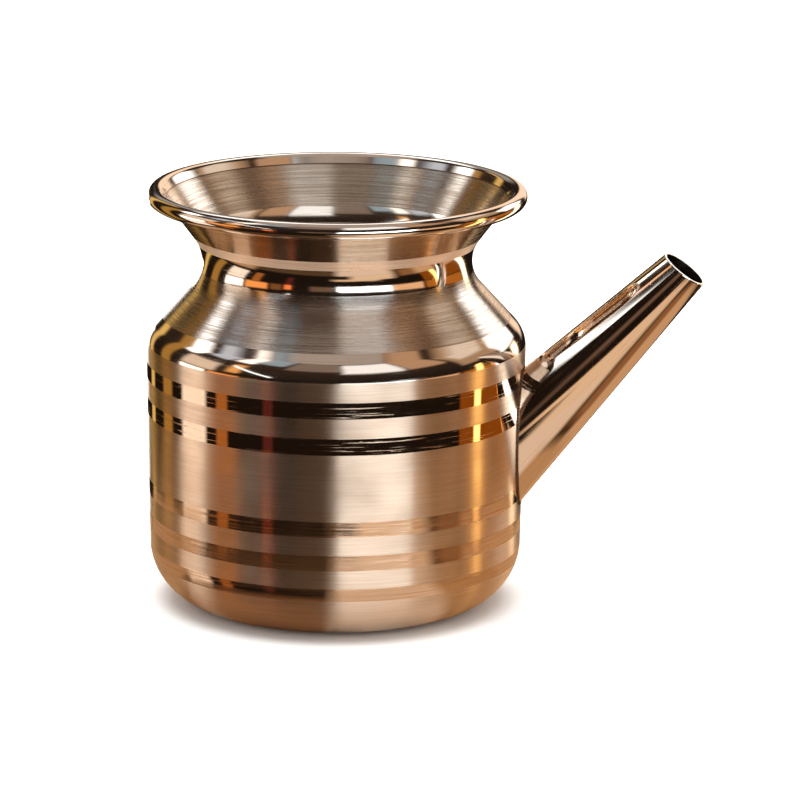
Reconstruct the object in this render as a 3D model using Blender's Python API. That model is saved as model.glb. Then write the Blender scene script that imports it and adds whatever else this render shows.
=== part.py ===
"""Spouted water pot: a drawn cup, a shoulder cone, a waisted neck with a rolled rim, and a welded spout."""

import math

import bmesh
import bpy
import numpy as np

MM = 0.001

# Sheet and fits, in millimetres
SHEET = 0.7
SPOUT_SHEET = 0.6
GAP = 0.3
MERGE = 0.01
SHARP_DEG = 30.0

# Cup: flat base, rounded bottom corner, wall with a slight draft, rounded shoulder corner
BASE_RADIUS = 54.3
WALL_DRAFT_DEG = 0.87
BASE_CORNER = 18.0
SHOULDER_CORNER = 9.9

# Shoulder cone and waisted neck: one seam stands up the cone, the other in the bend below the waist
CONE_SLOPE_DEG = 47.4
NECK_RADIUS = 39.5
NECK_FILLET = 11.5
FOOT_SEAM_SETBACK = 3.0
NECK_SEAM_DEG = 22.0

# Rolled rim with a wire inside: the mouth stands a fixed rise above the shoulder
RIM_RADIUS = 52.9
RIM_TOP_Z = 123.3
MOUTH_RISE = 43.2
CURL_RADIUS = 2.4
CURL_CLEARANCE = 0.4
WIRE_CLEARANCE = 0.35

# Spout: oval at the wall, round at the mouth, its axis a fixed drop below the shoulder
SPOUT_RISE_DEG = 46.9
SPOUT_DROP = 26.6
SPOUT_ROOT_HALF_HEIGHT = 13.5
SPOUT_ROOT_HALF_WIDTH = 6.5
SPOUT_TIP_RADIUS = 7.0
SPOUT_LENGTH = 68.4
MOUTH_TILT_DEG = 6.9
BORE_REACH = 0.45
SEARCH_REACH = 0.9
SEARCH_STEPS = 60

# Weld beads
ROOT_BEAD = 0.8
SEAM_BEAD = 0.6

# Number of facets round and along each shape
SEGMENTS = 60
SPOUT_SEGMENTS = 48
BASE_STEPS = 8
SHOULDER_STEPS = 5
BEND_STEPS = 3
NECK_STEPS = 7
CURL_STEPS = 13
SPOUT_STEPS = 5
WIRE_SIDES = 8
BEAD_SIDES = 6

# Sizes that follow from those above
SHOULDER_Z = RIM_TOP_Z - MOUTH_RISE
SPOUT_AXIS_Z = SHOULDER_Z - SPOUT_DROP
DRAFT = math.tan(math.radians(WALL_DRAFT_DEG))
CONE = math.radians(CONE_SLOPE_DEG)
NECK_SEAM = math.radians(NECK_SEAM_DEG)
SEAM_TURN = GAP / NECK_FILLET
RISE = math.radians(SPOUT_RISE_DEG)
TILT = math.radians(MOUTH_TILT_DEG)
RIM_Z = RIM_TOP_Z - CURL_RADIUS


def unit(angle):
    """Direction in the profile plane at this angle from the radius."""
    return np.array([math.cos(angle), math.sin(angle)])


def wall_radius(z):
    """Outer radius of the drafted wall at a height."""
    return BASE_RADIUS + DRAFT * z


def meet(normal_a, level_a, normal_b, level_b):
    """Point where two lines given by normal and level cross."""
    return np.linalg.solve(np.array([normal_a, normal_b]), np.array([level_a, level_b]))


def arc(centre, radius, start, end, steps):
    """Points along an arc in the profile plane, both ends included."""
    return [centre + radius * unit(a) for a in np.linspace(start, end, steps + 1)]


class Profile:
    """Outer side of the turned body as tangent lines and arcs, offset inward by a depth."""

    def __init__(self):
        self.wall_angle = -math.radians(WALL_DRAFT_DEG)
        self.cone_angle = math.pi / 2 - CONE
        wall_n = unit(self.wall_angle)
        cone_n = unit(self.cone_angle)
        wall_level = wall_n @ np.array([BASE_RADIUS, 0.0])
        corner = np.array([wall_radius(SHOULDER_Z), SHOULDER_Z])
        cone_level = cone_n @ corner
        self.base_c = meet(wall_n, wall_level - BASE_CORNER, np.array([0.0, 1.0]), BASE_CORNER)
        self.shoulder_c = meet(wall_n, wall_level - SHOULDER_CORNER, cone_n, cone_level - SHOULDER_CORNER)
        self.neck_c = meet(np.array([1.0, 0.0]), NECK_RADIUS + NECK_FILLET, cone_n, cone_level + NECK_FILLET)
        self.curl_c = np.array([RIM_RADIUS, RIM_Z])
        self.neck_seam = math.pi + NECK_SEAM
        self.flare = self.flare_angle()

    def flare_angle(self):
        """Angle above the radius of the line that touches the neck arc and the rolled rim."""
        across = self.curl_c - self.neck_c
        reach = NECK_FILLET + SHEET - CURL_RADIUS
        return math.acos(reach / math.hypot(*across)) - math.atan2(across[0], across[1])

    def foot_seam(self, depth, rise):
        """Point of the cone line this far above the middle of the seam at its foot."""
        tangent = self.shoulder_c + (SHOULDER_CORNER - depth) * unit(self.cone_angle)
        return tangent + (FOOT_SEAM_SETBACK + rise) * unit(self.cone_angle + math.pi / 2)

    def cup_side(self, depth):
        """Base to shoulder seam at this depth under the outer skin."""
        path = [np.array([0.0, depth])]
        path += arc(self.base_c, BASE_CORNER - depth, -math.pi / 2, self.wall_angle, BASE_STEPS)
        corner = SHOULDER_CORNER - depth
        path += arc(self.shoulder_c, corner, self.wall_angle, self.cone_angle, SHOULDER_STEPS)
        path.append(self.foot_seam(depth, -GAP / 2))
        return path

    def cone_side(self, depth):
        """Shoulder cone and the start of the bend into the neck, between the two seams."""
        path = [self.foot_seam(depth, GAP / 2)]
        start = self.cone_angle + math.pi
        path += arc(self.neck_c, NECK_FILLET + depth, start, self.neck_seam + SEAM_TURN / 2, BEND_STEPS)
        return path

    def neck_side(self, depth):
        """Neck seam to the start of the rolled rim."""
        start = self.neck_seam - SEAM_TURN / 2
        return arc(self.neck_c, NECK_FILLET + depth, start, self.flare + math.pi / 2, NECK_STEPS)

    def curl_side(self, depth):
        """Rolled rim, over the top and round under, at this depth under its outer skin."""
        start = self.flare + math.pi / 2
        clear = math.acos((CURL_RADIUS - SHEET - CURL_CLEARANCE) / CURL_RADIUS)
        return arc(self.curl_c, CURL_RADIUS - depth, start, start - 2 * math.pi + clear, CURL_STEPS)

    def seam_bead_centre(self, end):
        """Centre of the bead that lies behind a seam, inside the pot."""
        depth = SHEET + GAP + SEAM_BEAD
        if end == "foot":
            return self.foot_seam(depth, 0.0)
        return self.neck_c + (NECK_FILLET + depth) * unit(self.neck_seam)


class Spout:
    """Cone that runs from an oval at the wall to a round mouth, in the XZ plane."""

    def __init__(self):
        self.along = np.array([math.cos(RISE), 0.0, math.sin(RISE)])
        self.up = np.array([-math.sin(RISE), 0.0, math.cos(RISE)])
        self.side = np.array([0.0, 1.0, 0.0])
        self.root = np.array([wall_radius(SPOUT_AXIS_Z), 0.0, SPOUT_AXIS_Z])

    def point(self, turn, share, depth):
        """Point on the ruled skin: share 0 is the root section, 1 the tip section."""
        half_up = SPOUT_ROOT_HALF_HEIGHT + (SPOUT_TIP_RADIUS - SPOUT_ROOT_HALF_HEIGHT) * share - depth
        half_side = SPOUT_ROOT_HALF_WIDTH + (SPOUT_TIP_RADIUS - SPOUT_ROOT_HALF_WIDTH) * share - depth
        centre = self.root + SPOUT_LENGTH * share * self.along
        return centre + half_up * math.cos(turn) * self.up + half_side * math.sin(turn) * self.side

    def share_at_wall(self, turn, depth, clearance):
        """Share at which the skin line stands this far outside the wall."""
        low, high = -SEARCH_REACH, SEARCH_REACH
        for _ in range(SEARCH_STEPS):
            middle = (low + high) / 2
            x, y, z = self.point(turn, middle, depth)
            if math.hypot(x, y) < wall_radius(z) + clearance:
                low = middle
            else:
                high = middle
        return high

    def share_at_mouth(self, turn, depth):
        """Share at which the skin line meets the tilted plane of the mouth."""
        normal = math.cos(TILT) * self.along + math.sin(TILT) * self.up
        tip = self.root + SPOUT_LENGTH * self.along
        first = self.point(turn, 0.0, depth)
        last = self.point(turn, 1.0, depth)
        return float((tip - first) @ normal / ((last - first) @ normal))

    def turns(self):
        """Angles round the section."""
        return np.linspace(0.0, 2 * math.pi, SPOUT_SEGMENTS, endpoint=False)

    def section(self, share, depth):
        """Ring of the skin square to the axis."""
        return [self.point(turn, share, depth) for turn in self.turns()]

    def rings(self, depth):
        """Rings of the skin from the wall to the mouth."""
        starts = [self.share_at_wall(t, depth, GAP) for t in self.turns()]
        ends = [self.share_at_mouth(t, depth) for t in self.turns()]
        found = []
        for k in range(SPOUT_STEPS + 1):
            shares = [a + (b - a) * k / SPOUT_STEPS for a, b in zip(starts, ends)]
            found.append([self.point(t, s, depth) for t, s in zip(self.turns(), shares)])
        return found

    def bead_path(self):
        """Centres and section axes of the weld bead in the corner between wall and spout."""
        found = []
        step = math.pi / SPOUT_SEGMENTS
        for turn in self.turns():
            share = self.share_at_wall(turn, 0.0, 0.0)
            foot = self.point(turn, share, 0.0)
            ruling = self.point(turn, 1.0, 0.0) - foot
            ahead = self.point(turn + step, share, 0.0) - self.point(turn - step, share, 0.0)
            skin = np.cross(ahead, ruling)
            skin /= np.linalg.norm(skin)
            wall = np.array([foot[0], foot[1], -DRAFT * math.hypot(foot[0], foot[1])])
            wall /= np.linalg.norm(wall)
            # The outer side of the spout faces away from its own axis
            centre_line = foot - self.root
            centre_line -= (centre_line @ self.along) * self.along
            if skin @ centre_line < 0:
                skin = -skin
            middle = skin + wall
            reach = (ROOT_BEAD + GAP) / (1 + skin @ wall)
            found.append((foot + reach * middle, wall, skin))
        return found


def place(name, mesh, material):
    """Shade a mesh, give it its metal and put it in the scene."""
    mesh.shade_smooth()
    mesh.set_sharp_from_angle(angle=math.radians(SHARP_DEG))
    mesh.materials.clear()
    mesh.materials.append(material)
    obj = bpy.data.objects.new(name, mesh)
    bpy.context.scene.collection.objects.link(obj)
    return obj


def revolve(name, loop, material, closed=True):
    """Turn an outline of radius and height points about Z with a Screw. The outline runs down its outer side."""
    outline = bpy.data.meshes.new(name + "_outline")
    points = [(float(r) * MM, 0.0, float(z) * MM) for r, z in loop]
    edges = [(k, k + 1) for k in range(len(points) - 1)]
    if closed:
        edges.append((len(points) - 1, 0))
    outline.from_pydata(points, edges, [])
    turned = bpy.data.objects.new(name + "_outline", outline)
    bpy.context.scene.collection.objects.link(turned)
    screw = turned.modifiers.new("turn", "SCREW")
    screw.axis = "Z"
    screw.steps = SEGMENTS
    screw.render_steps = SEGMENTS
    screw.use_merge_vertices = True
    screw.merge_threshold = MERGE * MM
    graph = bpy.context.evaluated_depsgraph_get()
    mesh = bpy.data.meshes.new_from_object(turned.evaluated_get(graph))
    bpy.data.objects.remove(turned, do_unlink=True)
    mesh.name = name
    return place(name, mesh, material)


def loft(name, rings, material, capped=False):
    """Skin a row of rings with quads. Without caps the last ring joins back to the first."""
    work = bmesh.new()
    loops = [[work.verts.new(tuple(float(c) * MM for c in p)) for p in ring] for ring in rings]
    pairs = list(zip(loops, loops[1:]))
    if not capped:
        pairs.append((loops[-1], loops[0]))
    for here, there in pairs:
        for k in range(len(here)):
            work.faces.new((here[k - 1], here[k], there[k], there[k - 1]))
    if capped:
        work.faces.new(loops[0])
        work.faces.new(loops[-1])
    bmesh.ops.recalc_face_normals(work, faces=work.faces[:])
    mesh = bpy.data.meshes.new(name)
    work.to_mesh(mesh)
    work.free()
    return place(name, mesh, material)


def metal(name, colour, roughness):
    """Principled metal with its own colour and roughness."""
    material = bpy.data.materials.new(name)
    material.use_nodes = True
    shader = material.node_tree.nodes["Principled BSDF"]
    shader.inputs["Base Color"].default_value = (*colour, 1.0)
    shader.inputs["Roughness"].default_value = roughness
    shader.inputs["Metallic"].default_value = 1.0
    material.diffuse_color = (*colour, 1.0)
    material.metallic = 1.0
    material.roughness = roughness
    return material


def circle(centre, radius, steps):
    """Closed loop of points round a centre in the profile plane, running down its outer side."""
    return [centre + radius * unit(-2 * math.pi * k / steps) for k in range(steps)]


def build():
    """Make every piece of the pot."""
    for old in list(bpy.data.objects):
        bpy.data.objects.remove(old, do_unlink=True)

    satin = metal("satin_rose_steel", (0.60, 0.44, 0.33), 0.32)
    brushed = metal("lathe_brushed_steel", (0.56, 0.47, 0.40), 0.30)
    mirror = metal("mirror_rose_steel", (0.62, 0.48, 0.38), 0.08)
    wire_steel = metal("drawn_wire_steel", (0.50, 0.48, 0.46), 0.40)
    polished = metal("polished_spout_steel", (0.61, 0.46, 0.36), 0.10)
    weld_steel = metal("weld_bead_steel", (0.45, 0.36, 0.29), 0.35)
    seam_steel = metal("seam_bead_steel", (0.42, 0.36, 0.31), 0.45)

    body = Profile()
    spout = Spout()

    # Cup, with the way into the spout cut through its wall
    loop = body.cup_side(SHEET) + body.cup_side(0.0)[::-1]
    cup = revolve("body_cup", loop, satin, closed=False)
    bore = [spout.section(share, SPOUT_SHEET + GAP) for share in (-BORE_REACH, 0.0, BORE_REACH)]
    cutter = loft("spout_bore_cutter", bore, satin, capped=True)
    cutter.hide_render = True
    cutter.display_type = "WIRE"
    cut = cup.modifiers.new("spout_bore", "BOOLEAN")
    cut.operation = "DIFFERENCE"
    cut.solver = "EXACT"
    cut.object = cutter

    # Shoulder cone
    revolve("shoulder_cone", body.cone_side(SHEET) + body.cone_side(0.0)[::-1], brushed)

    # Waisted neck that runs into the rolled rim: the inner skin of the neck is the outer skin of the curl
    skin_out = body.neck_side(0.0) + body.curl_side(SHEET)
    skin_in = body.neck_side(SHEET) + body.curl_side(0.0)
    revolve("neck_and_mouth", skin_in + skin_out[::-1], mirror)

    # Wire inside the curl
    wire = CURL_RADIUS - SHEET - WIRE_CLEARANCE
    revolve("rim_wire", circle(body.curl_c, wire, WIRE_SIDES), wire_steel)

    # Spout tube
    loft("spout_cone", spout.rings(0.0) + spout.rings(SPOUT_SHEET)[::-1], polished)

    # Bead round the foot of the spout
    bead = []
    for centre, wall, skin in spout.bead_path():
        across = skin - (skin @ wall) * wall
        across /= np.linalg.norm(across)
        turns = [2 * math.pi * k / BEAD_SIDES for k in range(BEAD_SIDES)]
        bead.append([centre + ROOT_BEAD * (math.cos(t) * wall + math.sin(t) * across) for t in turns])
    loft("spout_root_weld", bead, weld_steel)

    # Beads behind the two round seams
    revolve("shoulder_seam_weld", circle(body.seam_bead_centre("foot"), SEAM_BEAD, BEAD_SIDES), seam_steel)
    revolve("neck_seam_weld", circle(body.seam_bead_centre("top"), SEAM_BEAD, BEAD_SIDES), seam_steel)


build()
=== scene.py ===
"""Looks of a spouted water pot: satin and mirror-polished rose steel, turned, rolled and welded."""

from __future__ import annotations

import logging
import math
from dataclasses import dataclass
from enum import Enum
from typing import Any, Sequence

import bmesh
import bpy
import numpy as np
from mathutils import Matrix, Vector

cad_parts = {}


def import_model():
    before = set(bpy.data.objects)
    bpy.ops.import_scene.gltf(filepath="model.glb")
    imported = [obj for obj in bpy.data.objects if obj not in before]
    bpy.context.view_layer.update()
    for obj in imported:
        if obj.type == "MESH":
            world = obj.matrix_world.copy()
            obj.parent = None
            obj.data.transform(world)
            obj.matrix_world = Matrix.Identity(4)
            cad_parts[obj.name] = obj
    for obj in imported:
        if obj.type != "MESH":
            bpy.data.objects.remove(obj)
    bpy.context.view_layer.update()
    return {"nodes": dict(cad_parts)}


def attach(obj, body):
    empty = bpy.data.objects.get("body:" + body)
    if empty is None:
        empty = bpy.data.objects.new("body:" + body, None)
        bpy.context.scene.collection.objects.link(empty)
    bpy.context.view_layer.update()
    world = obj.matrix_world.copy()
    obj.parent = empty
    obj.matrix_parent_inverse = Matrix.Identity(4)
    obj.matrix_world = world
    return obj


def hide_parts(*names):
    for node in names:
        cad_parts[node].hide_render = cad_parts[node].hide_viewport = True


LOG = logging.getLogger("water_pot")
MM = 0.001
BODY = "root"
# Attribute of a turned point: cosine and sine of its turn, and the way run along the outline in mm
LATHE = "lathe"
# Attribute of a card's point: the share of the full glow
GLOW = "up"
# Share of scratches at which a mark is as deep as the brush lines
FULL_SCRATCH = 0.10
# Hairlines: how far their noise is drawn out round and across, and the levels where one starts and is full
HAIR_STRETCH = (3.1, 3.1, 1.9)
HAIR_START, HAIR_FULL = 0.66, 0.74
# Pits: where the floor of one ends and its edge is reached, as shares of the distance between them
PIT_FLOOR, PIT_EDGE = 0.05, 0.09
# Smudges: levels of the noise that count as least and most, and how much of the roughness they change
SMUDGE_LEAST, SMUDGE_MOST = 0.3, 0.7
SMUDGE_SHARE = 0.2
# Added where a length of nothing would be divided by
NOT_ZERO = 1e-9
# Turn of the highlight from along the brush lines to across them
QUARTER_TURN = 0.25

Socket = bpy.types.NodeSocket


def linear(hex_colour: str) -> tuple[float, float, float, float]:
    """Turn an sRGB hex colour into linear red, green, blue and alpha.

    Args:
        hex_colour: Six hex digits, with or without a leading hash.

    Returns:
        Linear channels with alpha 1.
    """
    digits = hex_colour.lstrip("#")
    channels = []
    for start in (0, 2, 4):
        value = int(digits[start : start + 2], 16) / 255
        channels.append(value / 12.92 if value <= 0.04045 else ((value + 0.055) / 1.055) ** 2.4)
    return (channels[0], channels[1], channels[2], 1.0)


def add_node(
    tree: bpy.types.NodeTree,
    kind: str,
    settings: dict[str, Any] | None = None,
    inputs: dict[str | int, Any] | None = None,
) -> bpy.types.Node:
    """Add a node, set its properties and fill or link its inputs.

    Args:
        tree: Node tree that gets the node.
        kind: Type name of the node.
        settings: Property names and values.
        inputs: Socket names or indices, with a value or another node's socket.

    Returns:
        The new node.
    """
    node = tree.nodes.new(kind)
    for name, value in (settings or {}).items():
        setattr(node, name, value)
    for key, value in (inputs or {}).items():
        if isinstance(value, Socket):
            tree.links.new(value, node.inputs[key])
        else:
            node.inputs[key].default_value = value
    return node


class Zone(Enum):
    """Finishes found on the pot, each one a material of its own."""

    SATIN = "steel_satin_brushed"
    UPPER_BAND = "steel_mirror_band"
    LOWER_BAND = "steel_hazy_band_painted_shade"
    CORNER = "steel_mirror_corner"
    SHOULDER = "steel_lathe_brushed"
    NECK = "steel_mirror_neck"
    STRIP = "steel_strip_painted_reflection"
    FLARE = "steel_satin_flare"
    RIM = "steel_mirror_rim"
    MOUTH = "steel_lathe_mouth"
    GROOVE = "steel_turned_groove_painted_shade"
    THROAT = "steel_buffed_throat"
    INSIDE = "steel_drawn_inside_painted_shade"
    SPOUT = "steel_polished_spout"
    EDGE = "steel_ground_edge_painted_highlight"
    BORE = "steel_bore_painted_shade"
    WELD = "steel_weld_bead"
    WIRE = "steel_drawn_wire"


@dataclass(frozen=True)
class MetalFinish:
    """Steel with a rose tint and one way of finishing it.

    Brush lines follow the turning of the sheet: they are long round the pot and close together across
    it. Real grit lines are a few hundredths of a millimetre apart and would not show at the render's
    size, so they are drawn several tenths apart. Where the lines rise above the edge level the buffing
    wheel left them rough, so a higher edge is a better polish, and blur is how softly smooth runs into
    rough. Light and deep are the tints of smooth and rough metal, smooth and rough their roughness.
    Line_turns is how often the lines change in one radian of the turn, and scratches is how strongly
    hairlines and pits show.
    """

    zone: Zone
    light: str
    deep: str
    smooth: float
    rough: float
    edge: float
    blur: float
    anisotropy: float
    line_mm: float
    line_turns: float
    line_depth_mm: float
    scratches: float
    smudge_mm: float = 14.0
    pit_mm: float = 3.2
    metallic: float = 1.0

    def build(self) -> bpy.types.Material:
        """Make the material from its nodes.

        Returns:
            The new material, named for its zone.
        """
        material = bpy.data.materials.new(self.zone.value)
        material.use_nodes = True
        tree = material.node_tree
        shader = tree.nodes["Principled BSDF"]
        lines = self._lines(tree)
        scratch = self._scratches(tree)
        smudge = self._smudge(tree)
        left_rough = add_node(
            tree,
            "ShaderNodeMapRange",
            {"interpolation_type": "SMOOTHSTEP"},
            {0: lines, 1: self.edge - self.blur, 2: self.edge + self.blur, 3: 0.0, 4: 1.0},
        )
        tint = add_node(
            tree,
            "ShaderNodeMix",
            {"data_type": "RGBA"},
            {0: left_rough.outputs[0], 6: linear(self.light), 7: linear(self.deep)},
        )
        rough_lines = add_node(
            tree,
            "ShaderNodeMapRange",
            None,
            {0: left_rough.outputs[0], 1: 0.0, 2: 1.0, 3: self.smooth, 4: self.rough},
        )
        rough_worn = add_node(
            tree,
            "ShaderNodeMath",
            {"operation": "MULTIPLY_ADD"},
            {0: scratch, 1: self.scratches, 2: rough_lines.outputs[0]},
        )
        rough = add_node(
            tree,
            "ShaderNodeMath",
            {"operation": "MULTIPLY_ADD", "use_clamp": True},
            {0: smudge, 1: SMUDGE_SHARE * self.smooth, 2: rough_worn.outputs[0]},
        )
        height = add_node(
            tree,
            "ShaderNodeMath",
            {"operation": "MULTIPLY_ADD"},
            {0: scratch, 1: -self.scratches / FULL_SCRATCH, 2: lines},
        )
        bump = add_node(
            tree,
            "ShaderNodeBump",
            None,
            {"Strength": 1.0, "Distance": self.line_depth_mm * MM, "Height": height.outputs[0]},
        )
        tree.links.new(tint.outputs[2], shader.inputs["Base Color"])
        tree.links.new(rough.outputs[0], shader.inputs["Roughness"])
        tree.links.new(bump.outputs[0], shader.inputs["Normal"])
        shader.inputs["Metallic"].default_value = self.metallic
        shader.inputs["Anisotropic"].default_value = self.anisotropy
        if self.anisotropy > 0.0:
            # Lines run round the pot, so a light smears up and down
            round_pot = add_node(tree, "ShaderNodeTangent", {"direction_type": "RADIAL", "axis": "Z"})
            tree.links.new(round_pot.outputs[0], shader.inputs["Tangent"])
            shader.inputs["Anisotropic Rotation"].default_value = QUARTER_TURN
        return material

    def _lines(self, tree: bpy.types.NodeTree) -> Socket:
        """Brush lines from 0 to 1, along the turning direction.

        Args:
            tree: Node tree of the material.

        Returns:
            The socket that gives them.
        """
        turned = add_node(tree, "ShaderNodeAttribute", {"attribute_name": LATHE})
        across = 1.0 / self.line_mm
        stretched = add_node(
            tree,
            "ShaderNodeVectorMath",
            {"operation": "MULTIPLY"},
            {0: turned.outputs["Vector"], 1: (self.line_turns, self.line_turns, across)},
        )
        noise = add_node(
            tree,
            "ShaderNodeTexNoise",
            None,
            {"Vector": stretched.outputs[0], "Scale": 1.0, "Detail": 4.0, "Roughness": 0.62},
        )
        return noise.outputs[0]

    def _scratches(self, tree: bpy.types.NodeTree) -> Socket:
        """Sparse hairlines and pits, 1 where the surface is marked.

        Args:
            tree: Node tree of the material.

        Returns:
            The socket that gives them.
        """
        turned = add_node(tree, "ShaderNodeAttribute", {"attribute_name": LATHE})
        stretched = add_node(
            tree,
            "ShaderNodeVectorMath",
            {"operation": "MULTIPLY"},
            {0: turned.outputs["Vector"], 1: HAIR_STRETCH},
        )
        hair = add_node(
            tree,
            "ShaderNodeTexNoise",
            None,
            {"Vector": stretched.outputs[0], "Scale": 1.0, "Detail": 2.0, "Roughness": 0.5},
        )
        fine = add_node(
            tree,
            "ShaderNodeMapRange",
            None,
            {0: hair.outputs[0], 1: HAIR_START, 2: HAIR_FULL, 3: 0.0, 4: 1.0},
        )
        place = add_node(tree, "ShaderNodeTexCoord")
        cells = add_node(
            tree,
            "ShaderNodeTexVoronoi",
            None,
            {"Vector": place.outputs["Object"], "Scale": 1.0 / (self.pit_mm * MM)},
        )
        pits = add_node(
            tree,
            "ShaderNodeMapRange",
            None,
            {0: cells.outputs["Distance"], 1: PIT_FLOOR, 2: PIT_EDGE, 3: 1.0, 4: 0.0},
        )
        marked = add_node(
            tree,
            "ShaderNodeMath",
            {"operation": "MAXIMUM"},
            {0: fine.outputs[0], 1: pits.outputs[0]},
        )
        return marked.outputs[0]

    def _smudge(self, tree: bpy.types.NodeTree) -> Socket:
        """Broad uneven patches left by polishing and handling, around 0.

        Args:
            tree: Node tree of the material.

        Returns:
            The socket that gives them.
        """
        place = add_node(tree, "ShaderNodeTexCoord")
        cloud = add_node(
            tree,
            "ShaderNodeTexNoise",
            None,
            {"Vector": place.outputs["Object"], "Scale": 1.0 / (self.smudge_mm * MM), "Detail": 3.0},
        )
        level = add_node(
            tree,
            "ShaderNodeMapRange",
            None,
            {0: cloud.outputs[0], 1: SMUDGE_LEAST, 2: SMUDGE_MOST, 3: -1.0, 4: 1.0},
        )
        return level.outputs[0]


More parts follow.
